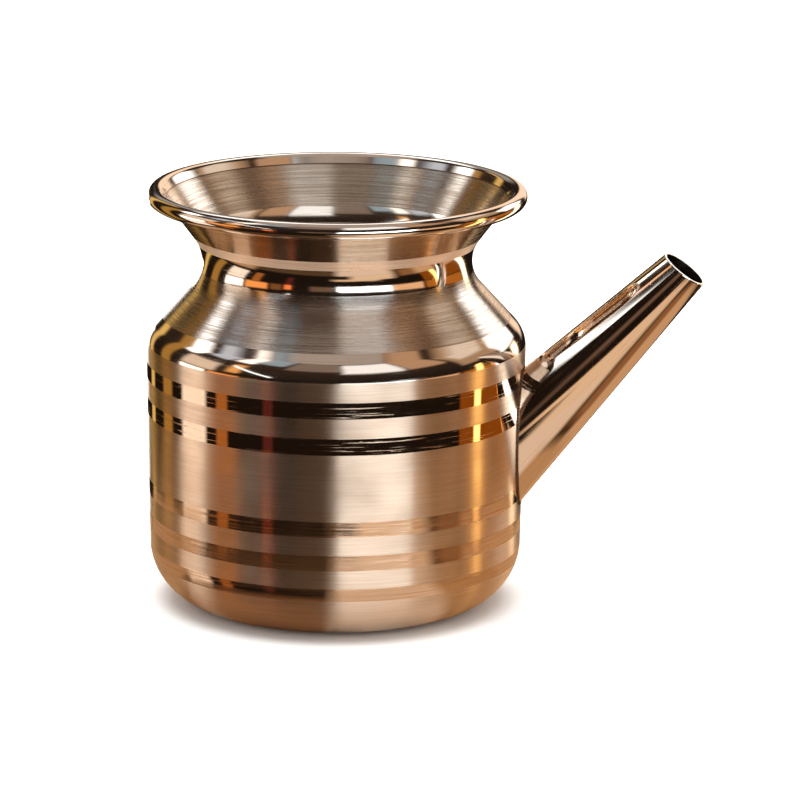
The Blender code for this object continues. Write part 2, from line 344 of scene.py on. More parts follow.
# Rose-tinted stainless steel: what each way of finishing it gives the eye; some tints below are painted
# shade, a painted reflection or a painted highlight
FINISHES = (
    # Brushed on the lathe: reflections soften into broad streaks up and down the wall
    MetalFinish(
        Zone.SATIN, "#F7E3D0", "#EBD2BA", smooth=0.33, rough=0.38, edge=0.50, blur=0.22,
        anisotropy=1.0, line_mm=0.42, line_turns=2.4, line_depth_mm=0.010, scratches=0.0,
    ),
    # Buffed to a mirror: light and dark stand sharp, with a few streaks that the brush left
    MetalFinish(
        Zone.UPPER_BAND, "#F2DCC8", "#E8CBB2", smooth=0.03, rough=0.36, edge=0.63, blur=0.05,
        anisotropy=1.0, line_mm=0.5, line_turns=2.0, line_depth_mm=0.0016, scratches=0.08,
    ),
    # Buffed less: it mirrors the table through a haze, and its tint, darker than the upper bands', is
    # painted shade
    MetalFinish(
        Zone.LOWER_BAND, "#E4CAB2", "#D6B496", smooth=0.09, rough=0.22, edge=0.56, blur=0.12,
        anisotropy=1.0, line_mm=0.5, line_turns=2.0, line_depth_mm=0.006, scratches=0.08,
    ),
    # Buffed on the bend: bright, sharp reflections that run round the shoulder
    MetalFinish(
        Zone.CORNER, "#F4E6DA", "#EBDACB", smooth=0.08, rough=0.16, edge=0.64, blur=0.05,
        anisotropy=0.0, line_mm=0.6, line_turns=1.6, line_depth_mm=0.0006, scratches=0.10,
    ),
    # Brushed on the lathe with coarser grit: fine rings and a greyer sheen
    MetalFinish(
        Zone.SHOULDER, "#E6DDD5", "#CDC1B6", smooth=0.16, rough=0.30, edge=0.50, blur=0.20,
        anisotropy=1.0, line_mm=0.36, line_turns=1.8, line_depth_mm=0.020, scratches=0.06,
    ),
    # Buffed in the hollow: small, sharp reflections
    MetalFinish(
        Zone.NECK, "#F4E6DA", "#EBDACB", smooth=0.08, rough=0.16, edge=0.64, blur=0.05,
        anisotropy=0.0, line_mm=0.6, line_turns=1.6, line_depth_mm=0.0006, scratches=0.10,
    ),
    # A peach band drawn as a part-diffuse surface: it scatters light to all sides and so stays bright from
    # every view, a painted reflection of the warm table top
    MetalFinish(
        Zone.STRIP, "#F0CEB0", "#DEB796", smooth=0.30, rough=0.40, edge=0.50, blur=0.22,
        anisotropy=1.0, line_mm=0.42, line_turns=2.4, line_depth_mm=0.006, scratches=0.05, metallic=0.6,
    ),
    # Brushed fine: a warm, even sheen
    MetalFinish(
        Zone.FLARE, "#E2CAB2", "#CCAF95", smooth=0.15, rough=0.25, edge=0.50, blur=0.22,
        anisotropy=1.0, line_mm=0.40, line_turns=2.0, line_depth_mm=0.012, scratches=0.05,
    ),
    # Buffed on the roll: one thin highlight that runs round the mouth
    MetalFinish(
        Zone.RIM, "#F4E9DF", "#EBDDD0", smooth=0.09, rough=0.16, edge=0.62, blur=0.05,
        anisotropy=0.0, line_mm=0.6, line_turns=1.4, line_depth_mm=0.001, scratches=0.10,
    ),
    # Brushed on the lathe: fine rings inside the flare and a pale sheen
    MetalFinish(
        Zone.MOUTH, "#E6DACD", "#CBBBAA", smooth=0.20, rough=0.34, edge=0.50, blur=0.20,
        anisotropy=1.0, line_mm=0.38, line_turns=1.6, line_depth_mm=0.022, scratches=0.06,
    ),
    # Turned with a point: one dull line inside the rim; the stretch is flat, so its dark tint is painted
    # shade
    MetalFinish(
        Zone.GROOVE, "#A08A79", "#80695A", smooth=0.28, rough=0.40, edge=0.50, blur=0.20,
        anisotropy=1.0, line_mm=0.4, line_turns=1.6, line_depth_mm=0.006, scratches=0.06,
    ),
    # Buffed inside the neck: a pale, soft mirror
    MetalFinish(
        Zone.THROAT, "#F4EAE0", "#E6D9CC", smooth=0.11, rough=0.18, edge=0.60, blur=0.10,
        anisotropy=0.0, line_mm=0.5, line_turns=1.6, line_depth_mm=0.001, scratches=0.08,
    ),
    # Left as drawn: dull, with a tint darker than the outside that is painted shade in the hollow
    MetalFinish(
        Zone.INSIDE, "#C4A68E", "#AD8D75", smooth=0.28, rough=0.40, edge=0.50, blur=0.20,
        anisotropy=1.0, line_mm=0.5, line_turns=1.6, line_depth_mm=0.006, scratches=0.08,
    ),
    # Polished lengthwise by hand: a clear mirror with fine scratches and pits
    MetalFinish(
        Zone.SPOUT, "#F4E3D4", "#EAD3BF", smooth=0.05, rough=0.18, edge=0.62, blur=0.06,
        anisotropy=0.0, line_mm=20.0, line_turns=26.0, line_depth_mm=0.001, scratches=0.06,
    ),
    # Ground on a fine wheel: a pale line round the mouth of the spout, drawn as part-diffuse, a painted
    # highlight
    MetalFinish(
        Zone.EDGE, "#FBF4EC", "#F3E8DD", smooth=0.28, rough=0.40, edge=0.50, blur=0.10,
        anisotropy=0.0, line_mm=0.6, line_turns=1.4, line_depth_mm=0.001, scratches=0.0, metallic=0.4,
    ),
    # Inside the spout: a dark tint that is painted shade, so it reads as a dark hole
    MetalFinish(
        Zone.BORE, "#4A3F37", "#3A302A", smooth=0.36, rough=0.50, edge=0.50, blur=0.20,
        anisotropy=0.0, line_mm=0.5, line_turns=2.0, line_depth_mm=0.004, scratches=0.08,
    ),
    # Left as welded: a dark, rippled line
    MetalFinish(
        Zone.WELD, "#7A5E48", "#54402F", smooth=0.20, rough=0.40, edge=0.50, blur=0.20,
        anisotropy=0.0, line_mm=0.5, line_turns=2.0, line_depth_mm=0.004, scratches=0.10,
    ),
    # Drawn through a die: plain grey wire, hidden in the roll
    MetalFinish(
        Zone.WIRE, "#9C948C", "#857C74", smooth=0.32, rough=0.44, edge=0.50, blur=0.20,
        anisotropy=0.0, line_mm=0.5, line_turns=2.0, line_depth_mm=0.004, scratches=0.08,
    ),
)


class Finishes:
    """Materials by zone, each one made when it is first asked for."""

    def __init__(self, finishes: Sequence[MetalFinish]) -> None:
        """Keep the finishes to draw from."""
        self._recipes = {finish.zone: finish for finish in finishes}
        self._made: dict[Zone, bpy.types.Material] = {}

    def get(self, zone: Zone) -> bpy.types.Material:
        """Material of a zone.

        Args:
            zone: The finish asked for.

        Returns:
            Its material.
        """
        if zone not in self._made:
            self._made[zone] = self._recipes[zone].build()
        return self._made[zone]


def unit(angle: float) -> np.ndarray:
    """Direction in the outline plane at this angle from the radius."""
    return np.array([math.cos(angle), math.sin(angle)])


def crossing(normal_a: np.ndarray, level_a: float, normal_b: np.ndarray, level_b: float) -> np.ndarray:
    """Point where two lines given by normal and level cross."""
    return np.linalg.solve(np.array([normal_a, normal_b]), np.array([level_a, level_b]))


@dataclass
class Stretch:
    """Part of a turned outline with one finish: radius and height points with their outward normals."""

    zone: Zone
    points: np.ndarray
    normals: np.ndarray

    @classmethod
    def arc(
        cls, zone: Zone, centre: np.ndarray, radius: float, start: float, end: float, steps: int, out: float
    ) -> Stretch:
        """Arc round a centre.

        Args:
            zone: Finish of the stretch.
            centre: Centre in the outline plane.
            radius: Radius in millimetres.
            start: First angle in radians.
            end: Last angle in radians.
            steps: Number of pieces.
            out: 1 where the surface faces away from the centre, -1 where it faces it.

        Returns:
            The stretch.
        """
        rays = np.array([unit(a) for a in np.linspace(start, end, steps + 1)])
        return cls(zone, centre + radius * rays, out * rays)

    @classmethod
    def line(cls, zone: Zone, first: np.ndarray, last: np.ndarray, steps: int = 1) -> Stretch:
        """Straight line. The surface faces to the right of the way it runs.

        Args:
            zone: Finish of the stretch.
            first: Where it starts in the outline plane.
            last: Where it ends.
            steps: Number of pieces.

        Returns:
            The stretch.
        """
        shares = np.linspace(0.0, 1.0, steps + 1)[:, None]
        way = (last - first) / np.linalg.norm(last - first)
        normal = np.array([way[1], -way[0]])
        return cls(zone, first + shares * (last - first), np.repeat(normal[None], steps + 1, axis=0))


@dataclass
class PotOutline:
    """Turned outline of the pot, from the part's own driving sizes in millimetres."""

    sheet: float = 0.7
    base_radius: float = 54.3
    wall_draft_deg: float = 0.87
    base_corner: float = 18.0
    shoulder_z: float = 80.1
    shoulder_corner: float = 9.9
    cone_slope_deg: float = 47.4
    neck_radius: float = 39.5
    neck_fillet: float = 11.5
    foot_seam_setback: float = 3.0
    neck_seam_deg: float = 22.0
    rim_radius: float = 52.9
    rim_top_z: float = 123.3
    curl_radius: float = 2.4
    seam_gap: float = 0.04
    curl_gap: float = 0.4
    arc_steps: int = 20

    def __post_init__(self) -> None:
        """Work out the centres of the arcs and the angle of the flare."""
        self.wall_angle = -math.radians(self.wall_draft_deg)
        self.cone_angle = math.pi / 2 - math.radians(self.cone_slope_deg)
        wall_n, cone_n = unit(self.wall_angle), unit(self.cone_angle)
        wall_level = float(wall_n @ np.array([self.base_radius, 0.0]))
        cone_level = float(cone_n @ np.array([self.wall_radius(self.shoulder_z), self.shoulder_z]))
        level_n = np.array([0.0, 1.0])
        self.base_c = crossing(wall_n, wall_level - self.base_corner, level_n, self.base_corner)
        self.shoulder_c = crossing(
            wall_n, wall_level - self.shoulder_corner, cone_n, cone_level - self.shoulder_corner
        )
        neck_c_radius = self.neck_radius + self.neck_fillet
        self.neck_c = crossing(np.array([1.0, 0.0]), neck_c_radius, cone_n, cone_level + self.neck_fillet)
        self.curl_c = np.array([self.rim_radius, self.rim_top_z - self.curl_radius])
        across = self.curl_c - self.neck_c
        reach = self.neck_fillet + self.sheet - self.curl_radius
        self.flare = math.acos(reach / math.hypot(*across)) - math.atan2(across[0], across[1])
        self.neck_foot = self.cone_angle + math.pi
        self.neck_seam = math.pi + math.radians(self.neck_seam_deg)
        self.neck_top = self.flare + math.pi / 2

    def wall_radius(self, z: float) -> float:
        """Outer radius of the wall at a height."""
        return self.base_radius + math.tan(math.radians(self.wall_draft_deg)) * z

    def wall_point(self, z: float, depth: float = 0.0) -> np.ndarray:
        """Point of the wall at a height, this deep under its outer skin."""
        return np.array([self.wall_radius(z), z]) - depth * unit(self.wall_angle)

    def foot_seam(self, depth: float, rise: float = 0.0) -> np.ndarray:
        """Point of the seam between cup and shoulder.

        Args:
            depth: Depth under the outer skin.
            rise: Extra way up the cone.

        Returns:
            Radius and height.
        """
        tangent = self.shoulder_c + (self.shoulder_corner - depth) * unit(self.cone_angle)
        return tangent + (self.foot_seam_setback + rise) * unit(self.cone_angle + math.pi / 2)

    def neck_point(self, depth: float, angle: float) -> np.ndarray:
        """Point of the neck's hollow at an angle round its centre, this deep under the outer skin."""
        return self.neck_c + (self.neck_fillet + depth) * unit(angle)


def new_object(name: str, mesh: bpy.types.Mesh) -> bpy.types.Object:
    """Put a mesh in the scene as an object at the origin.

    Args:
        name: Name of the object.
        mesh: Its mesh.

    Returns:
        The object.
    """
    obj = bpy.data.objects.new(name, mesh)
    bpy.context.scene.collection.objects.link(obj)
    return obj


def settle(obj: bpy.types.Object) -> None:
    """Replace an object's modifiers by the mesh that they give.

    Args:
        obj: The object, which keeps no modifier.
    """
    graph = bpy.context.evaluated_depsgraph_get()
    mesh = bpy.data.meshes.new_from_object(obj.evaluated_get(graph))
    obj.modifiers.clear()
    obj.data = mesh


def report(obj: bpy.types.Object, slot: str, *nodes: str) -> bpy.types.Object:
    """Tie a finished piece to the frame and log it.

    Args:
        obj: The piece.
        slot: Name of a material slot; not used.
        nodes: CAD nodes that it stands for.

    Returns:
        The same piece.
    """
    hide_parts(*nodes)
    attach(obj, BODY)
    LOG.info("%s: %d faces for %s", obj.name, len(obj.data.polygons), ", ".join(nodes))
    return obj


def mark_lathe(mesh: bpy.types.Mesh, values: Sequence[tuple[float, float, float]]) -> None:
    """Write the lathe attribute that the brush lines follow.

    Args:
        mesh: Mesh that gets it.
        values: Cosine, sine and way run of each point.
    """
    mark = mesh.attributes.new(LATHE, "FLOAT_VECTOR", "POINT")
    mark.data.foreach_set("vector", np.array(values, np.float32).ravel())


def face_outward(mesh: bpy.types.Mesh) -> None:
    """Turn every face of a closed mesh outward.

    Args:
        mesh: The mesh, changed in place.
    """
    work = bmesh.new()
    work.from_mesh(mesh)
    bmesh.ops.recalc_face_normals(work, faces=work.faces[:])
    if work.calc_volume(signed=True) < 0:
        bmesh.ops.reverse_faces(work, faces=work.faces[:])
    work.to_mesh(mesh)
    work.free()


class TurnedPiece:
    """Sheet turned about Z: a row of stretches that runs up the outer side and down the inner one."""

    segments: int = 192
    # Radius in millimetres under which a point counts as lying on the axis
    axis_mm: float = 1e-4
    # Least cosine between a face and the outline's normal where the two belong together
    same_side: float = 0.7
    # What a tilted normal and one from the other side cost, in square millimetres of distance
    tilt_cost: float = 0.5
    wrong_side_cost: float = 1e3
    # Face corners handled at a time, to spare memory
    batch: int = 20000

    def __init__(self, name: str, stretches: list[Stretch], closed: bool) -> None:
        """Keep the outline.

        Args:
            name: Name of the piece.
            stretches: Stretches end to end.
            closed: True where the last point joins the first, False where both lie on the axis.
        """
        self.name = name
        self.stretches = stretches
        self.closed = closed

    def mesh(self, finishes: Finishes) -> bpy.types.Mesh:
        """Turn the outline into a mesh with a material for each zone.

        Args:
            finishes: Where the materials come from.

        Returns:
            The mesh, with its lathe attribute.
        """
        rings = [self.stretches[0].points[0]]
        owners: list[Zone] = []
        for stretch in self.stretches:
            rings.extend(stretch.points[1:])
            owners.extend([stretch.zone] * (len(stretch.points) - 1))
        if self.closed:
            rings.pop()
        zones = list(dict.fromkeys(owners))
        steps = np.linalg.norm(np.diff(np.array(rings), axis=0), axis=1)
        travel = np.concatenate([[0.0], np.cumsum(steps)])
        verts: list[tuple[float, float, float]] = []
        lathe: list[tuple[float, float, float]] = []
        rows: list[list[int]] = []
        for (radius, height), run in zip(rings, travel):
            first = len(verts)
            if radius < self.axis_mm:
                rows.append([first] * self.segments)
                verts.append((0.0, 0.0, height * MM))
                lathe.append((0.0, 0.0, run))
                continue
            rows.append(list(range(first, first + self.segments)))
            for k in range(self.segments):
                turn = 2 * math.pi * k / self.segments
                c, s = math.cos(turn), math.sin(turn)
                verts.append((radius * c * MM, radius * s * MM, height * MM))
                lathe.append((c, s, run))
        faces: list[list[int]] = []
        indices: list[int] = []
        for i, zone in enumerate(owners):
            here, there = rows[i], rows[(i + 1) % len(rows)]
            for k in range(self.segments):
                n = (k + 1) % self.segments
                face = list(dict.fromkeys([here[k], here[n], there[n], there[k]]))
                if len(face) > 2:
                    faces.append(face)
                    indices.append(zones.index(zone))
        mesh = bpy.data.meshes.new(self.name)
        mesh.from_pydata(verts, [], faces)
        for zone in zones:
            mesh.materials.append(finishes.get(zone))
        mesh.polygons.foreach_set("material_index", indices)
        mark_lathe(mesh, lathe)
        mesh.validate()
        return mesh

    def aim_normals(self, mesh: bpy.types.Mesh) -> None:
        """Give every face corner the exact normal of the outline, so that mirrors stay true.

        Args:
            mesh: Mesh of this piece, cut or whole.
        """
        mesh.shade_smooth()
        samples = np.concatenate([s.points for s in self.stretches])
        aims = np.concatenate([s.normals for s in self.stretches])
        count = len(mesh.vertices)
        points = np.empty(count * 3, np.float32)
        mesh.vertices.foreach_get("co", points)
        points = points.reshape(-1, 3).astype(np.float64) / MM
        corner = np.empty(len(mesh.loops), np.int32)
        mesh.loops.foreach_get("vertex_index", corner)
        flat = np.empty(len(mesh.polygons) * 3, np.float32)
        mesh.polygons.foreach_get("normal", flat)
        totals = np.empty(len(mesh.polygons), np.int32)
        mesh.polygons.foreach_get("loop_total", totals)
        facing = np.repeat(flat.reshape(-1, 3).astype(np.float64), totals, axis=0)
        at = points[corner]
        radius = np.hypot(at[:, 0], at[:, 1])
        # On the axis the face itself says which way is out
        way = np.where(radius[:, None] > self.axis_mm, at[:, :2], facing[:, :2] + NOT_ZERO)
        way /= np.linalg.norm(way, axis=1, keepdims=True)
        tilt = np.stack([(facing[:, :2] * way).sum(axis=1), facing[:, 2]], axis=1)
        result = facing.copy()
        for first in range(0, len(at), self.batch):
            part = slice(first, first + self.batch)
            gap = (radius[part, None] - samples[None, :, 0]) ** 2
            gap += (at[part, None, 2] - samples[None, :, 1]) ** 2
            agree = tilt[part] @ aims.T
            cost = gap + self.tilt_cost * (1.0 - agree) + self.wrong_side_cost * (agree < self.same_side)
            best = np.argmin(cost, axis=1)
            chosen = aims[best]
            fits = np.take_along_axis(agree, best[:, None], axis=1)[:, 0] >= self.same_side
            turned = np.column_stack([chosen[:, :1] * way[part], chosen[:, 1]])
            result[part] = np.where(fits[:, None], turned, result[part])
        mesh.normals_split_custom_set(result.tolist())

    def finished(self, finishes: Finishes) -> bpy.types.Mesh:
        """Mesh of a piece that nothing is cut from, with its faces and normals outward.

        Args:
            finishes: Where the materials come from.

        Returns:
            The mesh.
        """
        mesh = self.mesh(finishes)
        face_outward(mesh)
        self.aim_normals(mesh)
        return mesh


@dataclass
class Spout:
    """Straight spout that runs from an oval at the wall to a round mouth, in millimetres."""

    outline: PotOutline
    sheet: float = 0.6
    bore_step: float = 0.3
    rise_deg: float = 46.9
    axis_z: float = 53.5
    root_half_height: float = 13.5
    root_half_width: float = 6.5
    tip_radius: float = 7.0
    length: float = 68.4
    mouth_tilt_deg: float = 6.9
    lip_round: float = 0.16
    sunk: float = 0.25
    # Shares of the length: the ring that keeps the lip crisp, the cutter's reach, the search for the wall
    lip_hold: float = 0.004
    cutter_reach: float = 0.45
    sought: float = 0.9
    halvings: int = 50
    around: int = 96
    rows: int = 40
    sharp_deg: float = 50.0

    def __post_init__(self) -> None:
        """Work out the spout's own axes."""
        rise, tilt = math.radians(self.rise_deg), math.radians(self.mouth_tilt_deg)
        self.along = np.array([math.cos(rise), 0.0, math.sin(rise)])
        self.up = np.array([-math.sin(rise), 0.0, math.cos(rise)])
        self.side = np.array([0.0, 1.0, 0.0])
        self.root = np.array([self.outline.wall_radius(self.axis_z), 0.0, self.axis_z])
        self.mouth_normal = math.cos(tilt) * self.along + math.sin(tilt) * self.up

    def point(self, turn: float, share: float, depth: float) -> np.ndarray:
        """Point on the skin.

        Args:
            turn: Angle round the section, in radians.
            share: Way along the spout: 0 is the root section and 1 the tip.
            depth: Depth under the outer skin.

        Returns:
            The point.
        """
        half_up = self.root_half_height + (self.tip_radius - self.root_half_height) * share - depth
        half_side = self.root_half_width + (self.tip_radius - self.root_half_width) * share - depth
        centre = self.root + self.length * share * self.along
        return centre + half_up * math.cos(turn) * self.up + half_side * math.sin(turn) * self.side

    def share_at_wall(self, turn: float, depth: float, clearance: float) -> float:
        """Share at which a skin line stands clear of the wall.

        Args:
            turn: Angle of the skin line.
            depth: Depth under the outer skin.
            clearance: How far outside the wall's outer side it stands.

        Returns:
            The share.
        """
        low, high = -self.sought, self.sought
        for _ in range(self.halvings):
            middle = (low + high) / 2
            x, y, z = self.point(turn, middle, depth)
            if math.hypot(x, y) < self.outline.wall_radius(z) + clearance:
                low = middle
            else:
                high = middle
        return high

    def share_at_mouth(self, turn: float, depth: float, back: float = 0.0) -> float:
        """Share at which a skin line meets the mouth's plane, or a plane set back from it.

        Args:
            turn: Angle of the skin line.
            depth: Depth under the outer skin.
            back: How far the plane is set back.

        Returns:
            The share.
        """
        tip = self.root + self.length * self.along - back * self.mouth_normal
        first, last = self.point(turn, 0.0, depth), self.point(turn, 1.0, depth)
        return float((tip - first) @ self.mouth_normal / ((last - first) @ self.mouth_normal))

    def turns(self) -> np.ndarray:
        """Angles round the section."""
        return np.linspace(0.0, 2 * math.pi, self.around, endpoint=False)

    def skin(self, depth: float, back: float) -> list[list[np.ndarray]]:
        """Rings of one side of the sheet, from the wall to the mouth.

        Args:
            depth: Depth under the outer skin.
            back: How far the last ring is set back from the mouth's plane.

        Returns:
            The rings, each a list of points.
        """
        starts = [self.share_at_wall(t, depth, -self.sunk) for t in self.turns()]
        ends = [self.share_at_mouth(t, depth, back) for t in self.turns()]
        steps = [k / self.rows for k in range(self.rows)] + [1.0 - self.lip_hold, 1.0]
        rings = []
        for step in steps:
            shares = [a + (b - a) * step for a, b in zip(starts, ends)]
            rings.append([self.point(t, share, depth) for t, share in zip(self.turns(), shares)])
        return rings

    def build(self, finishes: Finishes) -> bpy.types.Object:
        """Make the spout.

        Args:
            finishes: Where the materials come from.

        Returns:
            The piece.
        """
        outer = self.skin(0.0, self.lip_round)
        # The inner skin gets the bore's dark tint, which is painted shade
        inner = self.skin(self.sheet, self.lip_round)[::-1]
        # The lip gets a pale, part-diffuse tint, which is a painted highlight
        lip = []
        for depth in (self.lip_round, self.sheet - self.lip_round):
            lip.append([self.point(t, self.share_at_mouth(t, depth), depth) for t in self.turns()])
        rings = outer + lip + inner
        size = self.around
        run = 0.0
        lathe = []
        for i, ring in enumerate(rings):
            if i:
                run += float(np.linalg.norm(ring[0] - rings[i - 1][0]))
            lathe.extend([(math.cos(t), math.sin(t), run) for t in self.turns()])
        # Rows of faces: the outer skin, the lip with its two rounded edges, then the inner skin and the foot
        zones = (Zone.SPOUT, Zone.EDGE, Zone.BORE)
        owners = [0] * (len(outer) - 1) + [1] * (len(lip) + 1) + [2] * len(inner)
        faces, indices = [], []
        for i, owner in enumerate(owners):
            here, there = i * size, (i + 1) % len(rings) * size
            for k in range(size):
                n = (k + 1) % size
                faces.append((here + k, there + k, there + n, here + n))
                indices.append(owner)
        mesh = bpy.data.meshes.new("spout")
        mesh.from_pydata([tuple(p * MM) for ring in rings for p in ring], [], faces)
        for zone in zones:
            mesh.materials.append(finishes.get(zone))
        mesh.polygons.foreach_set("material_index", indices)
        mark_lathe(mesh, lathe)
        face_outward(mesh)
        mesh.shade_smooth()
        mesh.set_sharp_from_angle(angle=math.radians(self.sharp_deg))
        return report(new_object("spout", mesh), "polished_spout_steel", "spout_cone")

    def bore_cutter(self) -> bpy.types.Object:
        """Closed loft that opens the cup's wall into the spout.

        Returns:
            The cutter, to be removed after use.
        """
        shares = (-self.cutter_reach, 0.0, self.cutter_reach)
        depth = self.sheet + self.bore_step
        work = bmesh.new()
        loops = []
        for share in shares:
            loops.append([work.verts.new(tuple(self.point(t, share, depth) * MM)) for t in self.turns()])
        for here, there in zip(loops, loops[1:]):
            for k in range(self.around):
                work.faces.new((here[k - 1], here[k], there[k], there[k - 1]))
        work.faces.new(loops[0])
        work.faces.new(loops[-1])
        bmesh.ops.recalc_face_normals(work, faces=work.faces[:])
        mesh = bpy.data.meshes.new("bore_cutter")
        work.to_mesh(mesh)
        work.free()
        return new_object("bore_cutter", mesh)

    def weld_path(self, radius: float) -> list[np.ndarray]:
        """Line along which the root bead lies, in the corner between wall and spout.

        Args:
            radius: How far the bead's centre stands off the corner.

        Returns:
            Points of a closed line, in millimetres.
        """
        path = []
        for turn in self.turns():
            foot = self.point(turn, self.share_at_wall(turn, 0.0, 0.0), 0.0)
            away = foot - self.root
            away -= (away @ self.along) * self.along
            away /= np.linalg.norm(away)
            wall = np.array([foot[0], foot[1], 0.0]) / math.hypot(foot[0], foot[1])
            path.append(foot + radius * (wall + away) / np.linalg.norm(wall + away))
        return path


@dataclass
class WeldBead:
    """Row of small overlapping weld puddles along a closed line, in millimetres.

    A puddle's width varies from least to most of its radius, and its length along the line by
    length_spread to either side of length_share. The core is the plain rod under the puddles.
    """

    name: str
    spacing: float
    radius: float
    seed: int
    least: float = 0.88
    most: float = 1.06
    length_share: float = 0.9
    length_spread: float = 0.1
    core_share: float = 0.78

    def tree(self) -> bpy.types.GeometryNodeTree:
        """Node tree that lays puddles along the object's edges.

        Returns:
            The tree, with inputs for spacing, radius, seed and material.
        """
        tree = bpy.data.node_groups.new(self.name + "_puddles", "GeometryNodeTree")
        kinds = {
            "Path": "Geometry",
            "Spacing": "Float",
            "Radius": "Float",
            "Seed": "Int",
            "Metal": "Material",
        }
        for name, kind in kinds.items():
            tree.interface.new_socket(name, in_out="INPUT", socket_type="NodeSocket" + kind)
        tree.interface.new_socket("Bead", in_out="OUTPUT", socket_type="NodeSocketGeometry")
        given = add_node(tree, "NodeGroupInput").outputs
        line = add_node(tree, "GeometryNodeMeshToCurve", None, {0: given["Path"]})
        steps = add_node(
            tree,
            "GeometryNodeResampleCurve",
            {"mode": "LENGTH"},
            {"Curve": line.outputs[0], "Length": given["Spacing"]},
        )
        puddle = add_node(
            tree,
            "GeometryNodeMeshUVSphere",
            None,
            {"Segments": 10, "Rings": 6, "Radius": given["Radius"]},
        )
        tangent = add_node(tree, "GeometryNodeInputTangent")
        turned = add_node(
            tree,
            "FunctionNodeAlignRotationToVector",
            {"axis": "Z"},
            {"Vector": tangent.outputs[0]},
        )
        shortest = self.length_share * (1.0 - self.length_spread)
        longest = self.length_share * (1.0 + self.length_spread)
        size = add_node(
            tree,
            "FunctionNodeRandomValue",
            {"data_type": "FLOAT_VECTOR"},
            {
                0: (self.least, self.least, shortest),
                1: (self.most, self.most, longest),
                "Seed": given["Seed"],
            },
        )
        rows = add_node(
            tree,
            "GeometryNodeInstanceOnPoints",
            None,
            {
                "Points": steps.outputs[0],
                "Instance": puddle.outputs[0],
                "Rotation": turned.outputs[0],
                "Scale": size.outputs[0],
            },
        )
        core_radius = add_node(
            tree,
            "ShaderNodeMath",
            {"operation": "MULTIPLY"},
            {0: given["Radius"], 1: self.core_share},
        )
        ring = add_node(
            tree,
            "GeometryNodeCurvePrimitiveCircle",
            None,
            {"Resolution": 8, "Radius": core_radius.outputs[0]},
        )
        core = add_node(
            tree,
            "GeometryNodeCurveToMesh",
            None,
            {"Curve": steps.outputs[0], "Profile Curve": ring.outputs[0]},
        )
        both = add_node(tree, "GeometryNodeJoinGeometry")
        tree.links.new(core.outputs[0], both.inputs[0])
        tree.links.new(rows.outputs[0], both.inputs[0])
        real = add_node(tree, "GeometryNodeRealizeInstances", None, {0: both.outputs[0]})
        smooth = add_node(tree, "GeometryNodeSetShadeSmooth", None, {0: real.outputs[0]})
        metal = add_node(
            tree,
            "GeometryNodeSetMaterial",
            None,
            {"Geometry": smooth.outputs[0], "Material": given["Metal"]},
        )
        add_node(tree, "NodeGroupOutput", None, {0: metal.outputs[0]})
        return tree

    def build(self, path: Sequence[np.ndarray], finishes: Finishes) -> bpy.types.Object:
        """Lay the bead.

        Args:
            path: Points of the closed line, in millimetres.
            finishes: Where the material comes from.

        Returns:
            The bead as a plain mesh object.
        """
        line = bpy.data.meshes.new(self.name)
        edges = [(k, (k + 1) % len(path)) for k in range(len(path))]
        line.from_pydata([tuple(np.asarray(p) * MM) for p in path], edges, [])
        obj = new_object(self.name, line)
        tree = self.tree()
        modifier = obj.modifiers.new("puddles", "NODES")
        modifier.node_group = tree
        values = {
            "Spacing": self.spacing * MM,
            "Radius": self.radius * MM,
            "Seed": self.seed,
            "Metal": finishes.get(Zone.WELD),
        }
        for item in tree.interface.items_tree:
            if item.in_out == "INPUT" and item.name in values:
                modifier[item.identifier] = values[item.name]
        settle(obj)
        return obj


